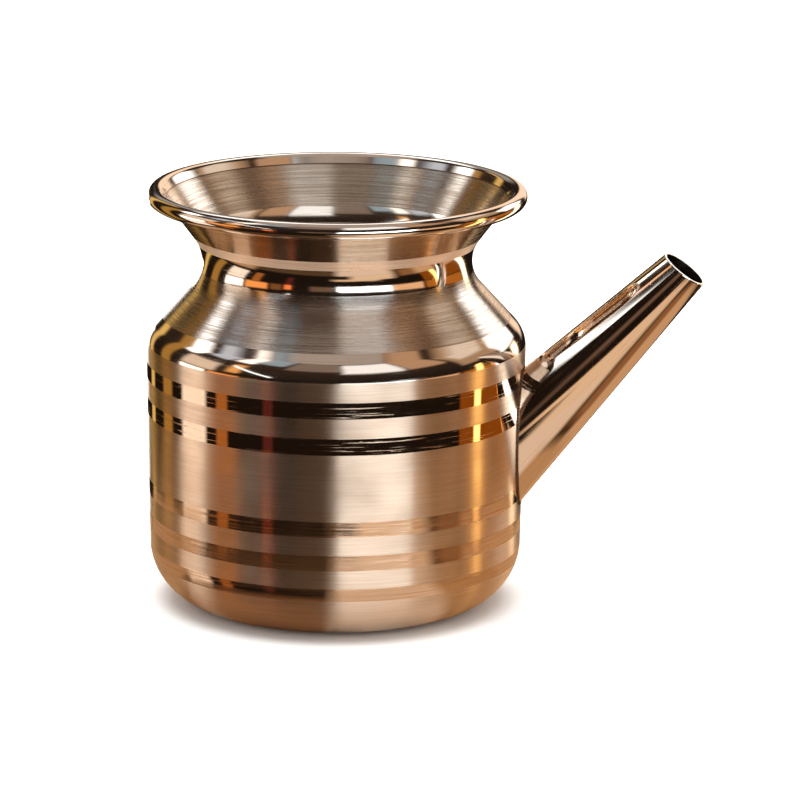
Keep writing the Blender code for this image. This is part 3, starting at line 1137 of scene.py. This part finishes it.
@dataclass
class Cup:
    """Drawn lower vessel with five polished bands, in millimetres."""

    outline: PotOutline
    spout: Spout
    # Heights of the band edges from the top one down: satin and mirror in turn
    corner_foot_z: float = 77.7
    upper_bands: tuple[float, ...] = (72.1, 67.4, 61.6, 56.8)
    lower_bands: tuple[float, ...] = (37.2, 32.7, 27.2, 22.7)
    foot_band: tuple[float, float] = (17.4, 13.5)
    # How finely the mesh is divided
    base_rows: int = 6
    bend_rows: int = 5
    inner_rows: int = 14
    wall_row: float = 4.0

    def outer(self) -> list[Stretch]:
        """Outer side, from the centre of the base up to the shoulder seam.

        Returns:
            The stretches end to end.
        """
        o = self.outline
        bend = o.base_corner
        band_top, band_foot = [-math.asin(min(1.0, (o.base_c[1] - z) / bend)) for z in self.foot_band]
        flat_edge = o.base_c - np.array([0.0, bend])
        found = [
            Stretch.line(Zone.SATIN, np.array([0.0, 0.0]), flat_edge, self.base_rows),
            Stretch.arc(Zone.SATIN, o.base_c, bend, -math.pi / 2, band_foot, o.arc_steps, 1.0),
            Stretch.arc(Zone.LOWER_BAND, o.base_c, bend, band_foot, band_top, self.bend_rows, 1.0),
        ]
        if band_top < o.wall_angle:
            rows = self.bend_rows - 1
            found.append(Stretch.arc(Zone.SATIN, o.base_c, bend, band_top, o.wall_angle, rows, 1.0))
        wall_foot = o.base_c + bend * unit(o.wall_angle)
        wall_top = o.shoulder_c + o.shoulder_corner * unit(o.wall_angle)
        edges = [wall_foot[1], *reversed(self.lower_bands), *reversed(self.upper_bands), wall_top[1]]
        # The lower bands' darker tint is painted shade
        zones = [Zone.SATIN, Zone.LOWER_BAND, Zone.SATIN, Zone.LOWER_BAND]
        zones += [Zone.SATIN, Zone.UPPER_BAND, Zone.SATIN, Zone.UPPER_BAND, Zone.SATIN]
        last = wall_foot
        for zone, z in zip(zones, edges[1:]):
            here = o.wall_point(z)
            found.append(Stretch.line(zone, last, here, max(1, round(abs(z - last[1]) / self.wall_row))))
            last = here
        corner, centre = o.shoulder_corner, o.shoulder_c
        polished = math.asin((self.corner_foot_z - centre[1]) / corner)
        found.append(Stretch.arc(Zone.SATIN, centre, corner, o.wall_angle, polished, self.bend_rows, 1.0))
        found.append(Stretch.arc(Zone.CORNER, centre, corner, polished, o.cone_angle, o.arc_steps, 1.0))
        found.append(Stretch.line(Zone.CORNER, found[-1].points[-1], o.foot_seam(0.0, -o.seam_gap / 2)))
        return found

    def inner(self) -> list[Stretch]:
        """Inner side, from the shoulder seam down to the centre of the base.

        Returns:
            The stretches end to end.
        """
        o = self.outline
        t = o.sheet
        seam = o.foot_seam(t, -o.seam_gap / 2)
        shoulder = Stretch.arc(
            Zone.INSIDE, o.shoulder_c, o.shoulder_corner - t, o.cone_angle, o.wall_angle, o.arc_steps, -1.0
        )
        foot = Stretch.arc(
            Zone.INSIDE, o.base_c, o.base_corner - t, o.wall_angle, -math.pi / 2, o.arc_steps, -1.0
        )
        # Every inner stretch gets the darker tint that is painted shade
        return [
            Stretch.line(Zone.INSIDE, seam, shoulder.points[0]),
            shoulder,
            Stretch.line(Zone.INSIDE, shoulder.points[-1], foot.points[0], self.inner_rows),
            foot,
            Stretch.line(Zone.INSIDE, foot.points[-1], np.array([0.0, t]), self.base_rows),
        ]

    def build(self, finishes: Finishes) -> bpy.types.Object:
        """Make the cup with the way into the spout cut through its wall.

        Args:
            finishes: Where the materials come from.

        Returns:
            The piece.
        """
        outer, inner = self.outer(), self.inner()
        lip = Stretch.line(Zone.CORNER, outer[-1].points[-1], inner[0].points[0])
        piece = TurnedPiece("cup", outer + [lip] + inner, closed=False)
        mesh = piece.mesh(finishes)
        face_outward(mesh)
        obj = new_object("cup", mesh)
        cutter = self.spout.bore_cutter()
        cutter.data.materials.append(finishes.get(Zone.INSIDE))
        cut = obj.modifiers.new("bore", "BOOLEAN")
        cut.operation = "DIFFERENCE"
        cut.solver = "EXACT"
        cut.object = cutter
        settle(obj)
        bpy.data.objects.remove(cutter, do_unlink=True)
        piece.aim_normals(obj.data)
        return report(obj, "satin_rose_steel", "body_cup")


@dataclass
class Shoulder:
    """Lathe-brushed cone between the cup and the neck, with the bend that turns up into the neck."""

    outline: PotOutline
    cone_rows: int = 8
    bend_rows: int = 12

    def build(self, finishes: Finishes) -> bpy.types.Object:
        """Make the cone.

        Args:
            finishes: Where the materials come from.

        Returns:
            The piece.
        """
        o = self.outline
        t, half = o.sheet, o.seam_gap / 2
        bend = o.neck_fillet
        seam = o.neck_seam + half / bend
        foot_out, foot_in = o.foot_seam(0.0, half), o.foot_seam(t, half)
        top_out, top_in = o.neck_point(0.0, seam), o.neck_point(t, seam)
        stretches = [
            Stretch.line(Zone.SHOULDER, foot_out, o.neck_point(0.0, o.neck_foot), self.cone_rows),
            Stretch.arc(Zone.SHOULDER, o.neck_c, bend, o.neck_foot, seam, self.bend_rows, -1.0),
            Stretch.line(Zone.SHOULDER, top_out, top_in),
            Stretch.arc(Zone.INSIDE, o.neck_c, bend + t, seam, o.neck_foot, self.bend_rows, 1.0),
            Stretch.line(Zone.INSIDE, o.neck_point(t, o.neck_foot), foot_in, self.cone_rows),
            Stretch.line(Zone.INSIDE, foot_in, foot_out),
        ]
        mesh = TurnedPiece("shoulder", stretches, closed=True).finished(finishes)
        return report(new_object("shoulder", mesh), "lathe_brushed_steel", "shoulder_cone")


@dataclass
class NeckAndMouth:
    """Waisted neck and flared mouth whose lip is rolled outward, in millimetres."""

    outline: PotOutline
    # Seen inside the mouth: the polished band under the rim and the turned groove below it
    rim_band: float = 2.2
    groove: float = 0.4
    # Seen outside: where buffing starts below the waist and ends above it, and the strip on the flare
    brushed_foot_deg: float = 13.0
    buffed_top_deg: float = 25.0
    strip_mm: float = 1.2
    # How finely the mesh is divided
    bend_rows: int = 6
    roll_rows: int = 48
    flare_rows: int = 8
    band_rows: int = 2

    def build(self, finishes: Finishes) -> bpy.types.Object:
        """Make the neck, mouth and rolled lip.

        Args:
            finishes: Where the materials come from.

        Returns:
            The piece.
        """
        o = self.outline
        t, bend = o.sheet, o.neck_fillet
        seam = o.neck_seam - 0.5 * o.seam_gap / bend
        end = o.neck_top
        strip = math.pi - math.radians(self.buffed_top_deg)
        brushed = math.pi + math.radians(self.brushed_foot_deg)
        foot_out = Stretch.arc(Zone.SHOULDER, o.neck_c, bend, seam, brushed, self.bend_rows, -1.0)
        waist_out = Stretch.arc(Zone.NECK, o.neck_c, bend, brushed, strip, 2 * o.arc_steps, -1.0)
        # The strip's peach, part-diffuse tint is a painted reflection
        strip_out = Stretch.arc(Zone.STRIP, o.neck_c, bend, strip, end, self.bend_rows, -1.0)
        waist_in = Stretch.arc(Zone.THROAT, o.neck_c, bend + t, end, seam, 2 * o.arc_steps, 1.0)
        clear = math.acos((o.curl_radius - t - o.curl_gap) / o.curl_radius)
        curl_end = end - 2 * math.pi + clear
        roll_in = Stretch.arc(Zone.RIM, o.curl_c, o.curl_radius - t, end, curl_end, self.roll_rows, -1.0)
        roll_out = Stretch.arc(Zone.RIM, o.curl_c, o.curl_radius, curl_end, end, self.roll_rows, 1.0)
        flare_way = unit(o.flare)
        strip_end = strip_out.points[-1] + self.strip_mm * flare_way
        band_end = roll_out.points[-1] - self.rim_band * flare_way
        groove_end = band_end - self.groove * flare_way
        stretches = [
            foot_out,
            waist_out,
            strip_out,
            Stretch.line(Zone.STRIP, strip_out.points[-1], strip_end),
            Stretch.line(Zone.FLARE, strip_end, roll_in.points[0], self.flare_rows),
            roll_in,
            Stretch.line(Zone.RIM, roll_in.points[-1], roll_out.points[0]),
            roll_out,
            Stretch.line(Zone.RIM, roll_out.points[-1], band_end, self.band_rows),
            # The groove is a flat stretch: its dark tint is painted shade
            Stretch.line(Zone.GROOVE, band_end, groove_end),
            Stretch.line(Zone.MOUTH, groove_end, waist_in.points[0], self.flare_rows),
            waist_in,
            Stretch.line(Zone.NECK, waist_in.points[-1], foot_out.points[0]),
        ]
        mesh = TurnedPiece("neck_mouth", stretches, closed=True).finished(finishes)
        return report(new_object("neck_mouth", mesh), "mirror_rose_steel", "neck_and_mouth")


@dataclass
class Welds:
    """Beads round the foot of the spout and behind the two round seams, in millimetres."""

    outline: PotOutline
    spout: Spout
    root_radius: float = 0.46
    root_stand_off: float = 0.16
    root_pitch: float = 0.95
    seam_radius: float = 0.6
    seam_stand_off: float = 0.35
    seam_pitch: float = 1.52
    seam_steps: int = 180

    def seam_path(self, top: bool) -> list[np.ndarray]:
        """Circle behind a seam, inside the pot.

        Args:
            top: True for the seam at the neck, False for the one at the foot of the cone.

        Returns:
            Points of a closed line, in millimetres.
        """
        o = self.outline
        depth = o.sheet + self.seam_stand_off
        radius, height = o.neck_point(depth, o.neck_seam) if top else o.foot_seam(depth)
        turns = np.linspace(0.0, 2 * math.pi, self.seam_steps, endpoint=False)
        return [np.array([radius * math.cos(a), radius * math.sin(a), height]) for a in turns]

    def build(self, finishes: Finishes) -> list[bpy.types.Object]:
        """Lay the three beads.

        Args:
            finishes: Where the material comes from.

        Returns:
            The pieces.
        """
        root = WeldBead("spout_weld", self.root_pitch, self.root_radius, seed=11)
        foot = WeldBead("shoulder_weld", self.seam_pitch, self.seam_radius, seed=23)
        neck = WeldBead("neck_weld", self.seam_pitch, self.seam_radius, seed=31)
        root_path = self.spout.weld_path(self.root_stand_off)
        return [
            report(root.build(root_path, finishes), "weld_bead_steel", "spout_root_weld"),
            report(foot.build(self.seam_path(False), finishes), "seam_bead_steel", "shoulder_seam_weld"),
            report(neck.build(self.seam_path(True), finishes), "seam_bead_steel", "neck_seam_weld"),
        ]


@dataclass(frozen=True)
class StudioPanel:
    """Glowing card that the metal mirrors, as a patch of a sphere round the pot.

    Angles are in degrees. Azimuth 0 is behind the camera and counts to its right; elevation counts
    up from the floor at the pot. The glow fades out over the last soft degrees, and climb is how
    far the far end of a slanted card is hung above its near end.
    """

    name: str
    azimuth: tuple[float, float]
    elevation: tuple[float, float]
    colour: str
    strength: float
    soft: float
    climb: float = 0.0


@dataclass(frozen=True)
class TablePatch:
    """Part of a ring on the floor that the metal mirrors as a warm table top.

    Azimuth is in degrees and counts as a card's does; reach, from the axis, is in metres.
    """

    name: str
    azimuth: tuple[float, float]
    reach: tuple[float, float]
    colour: str
    strength: float


@dataclass
class Studio:
    """Camera, pale floor and soft light round the pot."""

    # Camera as fitted to the photograph: lens in mm, places in metres, angles in degrees
    lens: float = 208.53
    sensor: float = 36.0
    side_step: float = 0.01878
    distance: float = 1.320
    height: float = 0.38644
    pitch_deg: float = 13.908
    roll_deg: float = 0.519
    spout_yaw_deg: float = 9.5
    near_clip: float = 0.01
    far_clip: float = 50.0
    # Cards: distance of the first one, how much nearer each next one hangs, and the steps of their mesh
    card_distance: float = 1.2
    card_nearer: float = 0.004
    card_step_across: float = 6.0
    card_step_up: float = 8.0
    # Patches: depth of the first one under the floor, how much deeper each next one lies, the width over
    # which the glow fades, and the steps of their mesh
    patch_depth: float = 0.0003
    patch_deeper: float = 0.0001
    patch_soft_deg: float = 8.0
    patch_soft_reach: float = 0.012
    patch_step_deg: float = 5.0
    patch_step_reach: float = 0.02
    # Floor and lamp in metres and watts
    floor_radius: float = 6.0
    floor_segments: int = 96
    floor_colour: str = "#F6F5F3"
    floor_roughness: float = 0.9
    lamp_size: float = 2.2
    lamp_height: float = 2.0
    lamp_power: float = 60.0
    # The dim room that the metal mirrors between the cards, from below to above
    room_low: str = "#1C140E"
    room_high: str = "#3A291E"
    room_rise: tuple[float, float] = (0.1, 0.9)
    panels: tuple[StudioPanel, ...] = (
        StudioPanel("ceiling", (-180, 180), (66, 89.5), "#FFEBDA", 0.4, 0),
        StudioPanel("dark_high", (-36, 6), (40, 68), "#FFDFC8", 0.22, 4),
        StudioPanel("key_low", (0, 49), (-9, 8), "#EEF8FF", 5.5, 4),
        StudioPanel("key_high", (3, 50), (34, 66), "#FFFFFF", 1.08, 5),
        StudioPanel("left_ground", (-106, -82), (-30, -8), "#FFECD8", 1.2, 3),
        StudioPanel("left_low", (-106, -82), (-9, 8), "#FFECDD", 2.5, 3),
        StudioPanel("left_mid", (-106, -74), (7, 32), "#FFE4C8", 0.8, 4),
        StudioPanel("left_high", (-122, -101), (30, 46), "#FFFFFF", 3, 5),
        StudioPanel("left_soft", (-101, -77), (40, 56), "#E9F2FF", 0.7, 4),
        StudioPanel("left_top", (-77, -58), (43, 64), "#FFF8F0", 1.7, 4),
        StudioPanel("amber_left_mid", (-70, -57), (12, 40), "#FFB666", 0.9, 4),
        StudioPanel("amber_left_low", (-82, -57), (-9, 8), "#FFA255", 1.1, 3),
        StudioPanel("amber_left_ground", (-76, -66), (-30, -8), "#FF9A47", 0.4, 2),
        StudioPanel("wood_left", (-57, -44), (-9, 8), "#FFAA61", 0.2, 3),
        StudioPanel("red_slip", (-44, -36), (-9, 5), "#FF8545", 1.2, 2),
        StudioPanel("red_ground", (-44, -36), (-30, -8), "#FF7C6E", 0.09, 2),
        StudioPanel("dark_low", (-23, 0), (-9, 8), "#FFC7A1", 0.16, 4),
        StudioPanel("window", (-68, -37), (31.3, 35.8), "#F0FAFF", 2.3, 2, -19),
        StudioPanel("window_high", (-64, -36), (48, 68), "#D8F0FF", 0.45, 4),
        StudioPanel("brown_right_low", (46, 79), (-9, 8), "#FFC695", 0.9, 3),
        StudioPanel("brown_right_high", (48, 82), (36, 68), "#FFC99C", 0.5, 4),
        StudioPanel("amber_right_low", (79, 130), (-9, 8), "#FF9836", 0.45, 3),
        StudioPanel("amber_right_ground", (79, 130), (-30, -8), "#FF8B27", 0.25, 2),
        StudioPanel("amber_right_high", (82, 127), (20, 56), "#FFCFA0", 0.42, 4),
        StudioPanel("hot_strip", (91, 98), (-30, 16), "#FFC870", 4.2, 2),
        StudioPanel("peach_right", (130, 142), (-30, 14), "#FFE9C3", 2.8, 3),
        StudioPanel("white_right", (119, 150), (13, 36), "#FFFBF7", 2.4, 5),
        StudioPanel("right_soft", (88, 123), (34, 52), "#FFEBD6", 0.8, 5),
        StudioPanel("cream_back", (152, 178), (0, 56), "#FFDEC0", 1.1, 4),
        StudioPanel("back_left", (-180, -150), (20, 60), "#F4ECE2", 0.35, 6),
        StudioPanel("gold_left", (-128, -114), (-30, 40), "#FFBC59", 0.4, 3),
        StudioPanel("gold_back", (-150, -140), (-30, 40), "#FFCF78", 0.8, 3),
        StudioPanel("back_low", (178, 208), (-9, 8), "#FFF9F3", 4, 3),
        StudioPanel("back_high", (150, 222), (44, 66), "#FFFFFF", 1.6, 4),
    )
    patches: tuple[TablePatch, ...] = (
        TablePatch("table_front", (-4, 50), (0.043, 0.150), "#FFE0C4", 0.78),
        TablePatch("table_spout", (8, 53), (0.100, 0.214), "#FFDAB4", 0.8),
        TablePatch("table_far", (-6, 40), (0.184, 0.230), "#FFD4A9", 0.84),
        TablePatch("table_mid", (36, 90), (0.043, 0.112), "#FFC48A", 0.5),
        TablePatch("table_shade", (50, 74), (0.110, 0.190), "#FFB070", 0.28),
        TablePatch("table_right", (62, 126), (0.043, 0.190), "#FFC995", 0.6),
        TablePatch("table_back", (114, 233), (0.043, 0.130), "#FFC995", 0.6),
        TablePatch("table_window", (-135, -70), (0.043, 0.165), "#FFC995", 0.5),
        TablePatch("table_near", (-80, 4), (0.043, 0.076), "#FFB880", 0.32),
        TablePatch("table_left", (-80, 4), (0.095, 0.150), "#FFC38C", 0.09),
    )

    def spot(self, azimuth: float, elevation: float, distance: float) -> Vector:
        """Point seen from the pot at an azimuth from the camera and an elevation.

        Args:
            azimuth: Degrees to the right of the camera.
            elevation: Degrees above the floor.
            distance: Metres from the origin.

        Returns:
            The point.
        """
        a, e = math.radians(azimuth), math.radians(elevation)
        flat = Vector((math.sin(a) * math.cos(e), -math.cos(a) * math.cos(e), math.sin(e))) * distance
        return Matrix.Rotation(math.radians(self.spout_yaw_deg), 3, "Z") @ flat

    def add_camera(self) -> None:
        """Place the camera as the photograph was taken."""
        data = bpy.data.cameras.new("camera")
        data.lens = self.lens
        data.sensor_width = self.sensor
        data.clip_start = self.near_clip
        data.clip_end = self.far_clip
        camera = bpy.data.objects.new("camera", data)
        bpy.context.scene.collection.objects.link(camera)
        turn = Matrix.Rotation(math.radians(self.spout_yaw_deg), 4, "Z")
        place = Matrix.Translation((self.side_step, -self.distance, self.height))
        tip = Matrix.Rotation(math.radians(90.0 - self.pitch_deg), 4, "X")
        roll = Matrix.Rotation(math.radians(self.roll_deg), 4, "Z")
        camera.matrix_world = turn @ place @ tip @ roll
        bpy.context.scene.camera = camera

    @staticmethod
    def faded_steps(span: tuple[float, float], soft: float, pitch: float) -> tuple[np.ndarray, np.ndarray]:
        """Steps across a card and how far its glow is up at each.

        Args:
            span: Where the card starts and ends.
            soft: Width over which the glow rises from either edge; 0 leaves the edge sharp.
            pitch: Largest step wanted.

        Returns:
            The steps, and the share of the full glow at each of them.
        """
        first, last = span
        steps = np.linspace(first, last, max(2, int((last - first) / pitch)) + 1)
        if not soft:
            return steps, np.ones(len(steps))
        soft = min(soft, (last - first) / 2)
        steps = np.unique(np.concatenate([steps, [first + soft, last - soft]]))
        return steps, np.clip(np.minimum(steps - first, last - steps) / soft, 0.0, 1.0)

    def add_panel(self, panel: StudioPanel, distance: float) -> None:
        """Hang one glowing card, seen only in the metal.

        Args:
            panel: The card.
            distance: Its distance from the pot; a nearer card hides one behind it.
        """
        across, up_across = self.faded_steps(panel.azimuth, panel.soft, self.card_step_across)
        tall, up_tall = self.faded_steps(panel.elevation, panel.soft, self.card_step_up)
        lift = panel.climb * (across - across[0]) / (across[-1] - across[0])
        verts = [self.spot(a, e + up, distance) for a, up in zip(across, lift) for e in tall]
        self.add_glow(panel, verts, np.outer(up_across, up_tall))

    def add_patch(self, patch: TablePatch, depth: float) -> None:
        """Lay one glowing part of the table top, seen only in the metal.

        Args:
            patch: The part of the table top.
            depth: How far it lies under the floor; a higher patch hides one below it.
        """
        turns, up_turns = self.faded_steps(patch.azimuth, self.patch_soft_deg, self.patch_step_deg)
        reach, up_reach = self.faded_steps(patch.reach, self.patch_soft_reach, self.patch_step_reach)
        verts = [self.spot(turn, 0.0, r) - Vector((0.0, 0.0, depth)) for turn in turns for r in reach]
        self.add_glow(patch, verts, np.outer(up_turns, up_reach))

    def add_glow(self, source: StudioPanel | TablePatch, verts: Sequence[Vector], up: np.ndarray) -> None:
        """Make a glowing sheet that fades to nothing where its glow is down.

        Args:
            source: The card or patch, which gives the name, colour and strength.
            verts: Points of the sheet, row after row.
            up: Share of the full glow at each point, in the same rows.
        """
        name, row = source.name, up.shape[1]
        faces = []
        for i in range(len(verts) // row - 1):
            for j in range(row - 1):
                k = i * row + j
                faces.append((k, k + 1, k + row + 1, k + row))
        mesh = bpy.data.meshes.new(name)
        mesh.from_pydata(verts, [], faces)
        share_at = mesh.attributes.new(GLOW, "FLOAT", "POINT")
        share_at.data.foreach_set("value", up.ravel().astype(np.float32))
        material = bpy.data.materials.new(name)
        material.use_nodes = True
        tree = material.node_tree
        tree.nodes.clear()
        glow = add_node(
            tree,
            "ShaderNodeEmission",
            None,
            {"Color": linear(source.colour), "Strength": source.strength},
        )
        clear = add_node(tree, "ShaderNodeBsdfTransparent")
        share = add_node(tree, "ShaderNodeAttribute", {"attribute_name": GLOW})
        faded = add_node(
            tree,
            "ShaderNodeMixShader",
            None,
            {0: share.outputs["Fac"], 1: clear.outputs[0], 2: glow.outputs[0]},
        )
        add_node(tree, "ShaderNodeOutputMaterial", None, {"Surface": faded.outputs[0]})
        mesh.materials.append(material)
        self.only_in_metal(new_object(name, mesh))

    @staticmethod
    def only_in_metal(card: bpy.types.Object) -> None:
        """Leave a card visible to glossy rays alone.

        Args:
            card: The card or patch.
        """
        card.visible_camera = False
        card.visible_diffuse = False
        card.visible_shadow = False
        card.visible_transmission = False

    def add_floor(self) -> None:
        """Lay the pale floor, which the metal doesn't mirror."""
        work = bmesh.new()
        bmesh.ops.create_circle(work, cap_ends=True, segments=self.floor_segments, radius=self.floor_radius)
        mesh = bpy.data.meshes.new("floor")
        work.to_mesh(mesh)
        work.free()
        floor = new_object("floor", mesh)
        paint = bpy.data.materials.new("floor_matt_white")
        paint.use_nodes = True
        shader = paint.node_tree.nodes["Principled BSDF"]
        shader.inputs["Base Color"].default_value = linear(self.floor_colour)
        shader.inputs["Roughness"].default_value = self.floor_roughness
        floor.data.materials.append(paint)
        floor.visible_glossy = False

    def add_light(self) -> None:
        """Hang the overhead softbox that lights the floor."""
        data = bpy.data.lights.new("overhead_softbox", "AREA")
        data.shape = "DISK"
        data.size = self.lamp_size
        data.energy = self.lamp_power
        lamp = bpy.data.objects.new("overhead_softbox", data)
        lamp.location = (0.0, 0.0, self.lamp_height)
        lamp.visible_glossy = False
        lamp.visible_camera = False
        bpy.context.scene.collection.objects.link(lamp)

    def add_room(self) -> None:
        """Set the world: white to the eye and on the floor, and a dim brown room in the metal."""
        world = bpy.data.worlds.new("studio")
        world.use_nodes = True
        tree = world.node_tree
        tree.nodes.clear()
        way = add_node(tree, "ShaderNodeTexCoord")
        split = add_node(tree, "ShaderNodeSeparateXYZ", None, {0: way.outputs["Generated"]})
        rise_start, rise_end = self.room_rise
        lift = add_node(
            tree,
            "ShaderNodeMapRange",
            None,
            {0: split.outputs["Z"], 1: rise_start, 2: rise_end, 3: 0.0, 4: 1.0},
        )
        room = add_node(
            tree,
            "ShaderNodeMix",
            {"data_type": "RGBA"},
            {0: lift.outputs[0], 6: linear(self.room_low), 7: linear(self.room_high)},
        )
        dim = add_node(tree, "ShaderNodeBackground", None, {"Color": room.outputs[2], "Strength": 1.0})
        pale = add_node(tree, "ShaderNodeBackground", None, {"Color": linear("#FFFFFF"), "Strength": 1.0})
        path = add_node(tree, "ShaderNodeLightPath")
        seen = add_node(
            tree,
            "ShaderNodeMixShader",
            None,
            {0: path.outputs["Is Glossy Ray"], 1: pale.outputs[0], 2: dim.outputs[0]},
        )
        add_node(tree, "ShaderNodeOutputWorld", None, {"Surface": seen.outputs[0]})
        bpy.context.scene.world = world

    def build(self) -> None:
        """Set up the whole studio."""
        self.add_camera()
        self.add_floor()
        self.add_light()
        self.add_room()
        for place, panel in enumerate(self.panels):
            self.add_panel(panel, self.card_distance - self.card_nearer * place)
        for place, patch in enumerate(self.patches):
            self.add_patch(patch, self.patch_depth + self.patch_deeper * place)
        bpy.context.scene.view_settings.view_transform = "Standard"


def main() -> None:
    """Dress the frame: every sub-assembly in turn, then the studio."""
    logging.basicConfig(level=logging.INFO, format="%(name)s %(message)s")
    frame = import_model()
    finishes = Finishes(FINISHES)
    outline = PotOutline()
    spout = Spout(outline)
    Cup(outline, spout).build(finishes)
    Shoulder(outline).build(finishes)
    NeckAndMouth(outline).build(finishes)
    spout.build(finishes)
    Welds(outline, spout).build(finishes)
    wire = frame["nodes"]["rim_wire"]
    wire.data.materials.clear()
    wire.data.materials.append(finishes.get(Zone.WIRE))
    LOG.info("rim_wire: kept from the frame")
    Studio().build()


if __name__ == "__main__":
    main()
